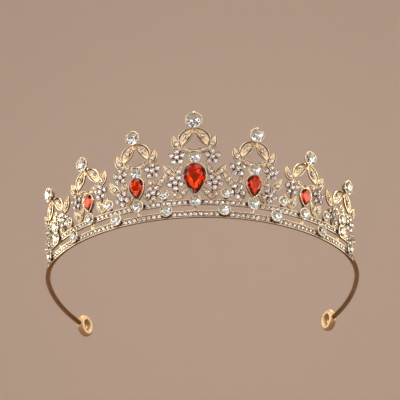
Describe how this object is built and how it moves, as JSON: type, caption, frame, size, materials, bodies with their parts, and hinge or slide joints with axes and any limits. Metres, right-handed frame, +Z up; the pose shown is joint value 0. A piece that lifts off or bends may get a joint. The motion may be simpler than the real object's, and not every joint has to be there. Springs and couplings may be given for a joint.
{
  "type": "tiara",
  "caption": "Bridal tiara: a sprung open hoop with end eyes carries a double crystal rail and graduated leaf motifs with red pear stones.",
  "frame": {"origin": "centre of the bounding box's underside, on the plane that the lower rail and the two end eyes stand on", "axes": "+Z up, from the lower rail to the tallest motif; -Y out of the front, where the tallest motif is; +X to the wearer's left"},
  "size_m": [0.152, 0.156, 0.0469],
  "materials": {
    "gold_plate": "polished pale rose-gold plate over cast metal and wire",
    "clear_crystal": "faceted clear crystal with a silver foil back",
    "red_crystal": "faceted orange-red crystal with a foil back"
  },
  "bodies": {
    "crown": {"front_wire": "gold_plate", "lower_crystal_1": "clear_crystal", "lower_crystal_2": "clear_crystal", "lower_crystal_3": "clear_crystal", "lower_crystal_4": "clear_crystal", "lower_crystal_5": "clear_crystal", "lower_crystal_6": "clear_crystal", "lower_crystal_7": "clear_crystal", "lower_crystal_8": "clear_crystal", "lower_crystal_row": "clear_crystal", "lower_rail": "gold_plate", "middle_crystal_1": "clear_crystal", "middle_crystal_3": "clear_crystal", "middle_crystal_4": "clear_crystal", "middle_crystal_5": "clear_crystal", "middle_crystal_7": "clear_crystal", "motif_1": "gold_plate", "motif_2": "gold_plate", "motif_3": "gold_plate", "motif_4": "gold_plate", "motif_5": "gold_plate", "motif_6": "gold_plate", "motif_7": "gold_plate", "pear_crystal_2": "red_crystal", "pear_crystal_3": "red_crystal", "pear_crystal_4": "red_crystal", "pear_crystal_5": "red_crystal", "pear_crystal_6": "red_crystal", "spacer_crystal_1": "clear_crystal", "spacer_crystal_2": "clear_crystal", "spacer_crystal_3": "clear_crystal", "spacer_crystal_4": "clear_crystal", "spacer_crystal_5": "clear_crystal", "spacer_crystal_6": "clear_crystal", "top_crystal_1": "clear_crystal", "top_crystal_2": "clear_crystal", "top_crystal_3": "clear_crystal", "top_crystal_4": "clear_crystal", "top_crystal_5": "clear_crystal", "top_crystal_6": "clear_crystal", "top_crystal_7": "clear_crystal", "upper_crystal_1": "clear_crystal", "upper_crystal_2": "clear_crystal", "upper_crystal_3": "clear_crystal", "upper_crystal_4": "clear_crystal", "upper_crystal_5": "clear_crystal", "upper_crystal_6": "clear_crystal", "upper_crystal_7": "clear_crystal", "upper_crystal_row": "clear_crystal", "upper_rail": "gold_plate"},
    "left_arm": {"left_arm": "gold_plate"},
    "right_arm": {"right_arm": "gold_plate"}
  },
  "joints": [
    {"name": "left_arm_spread", "type": "hinge", "parent": "crown", "child": "left_arm", "pos_m": [0.06954, -0.01375, 0.00344], "axis": [0, 0, -1], "range_deg": [0, 8], "stiffness_Nm_per_rad": 0.8},
    {"name": "right_arm_spread", "type": "hinge", "parent": "crown", "child": "right_arm", "pos_m": [-0.06954, -0.01375, 0.00344], "axis": [0, 0, 1], "range_deg": [0, 8], "stiffness_Nm_per_rad": 0.8}
  ]
}
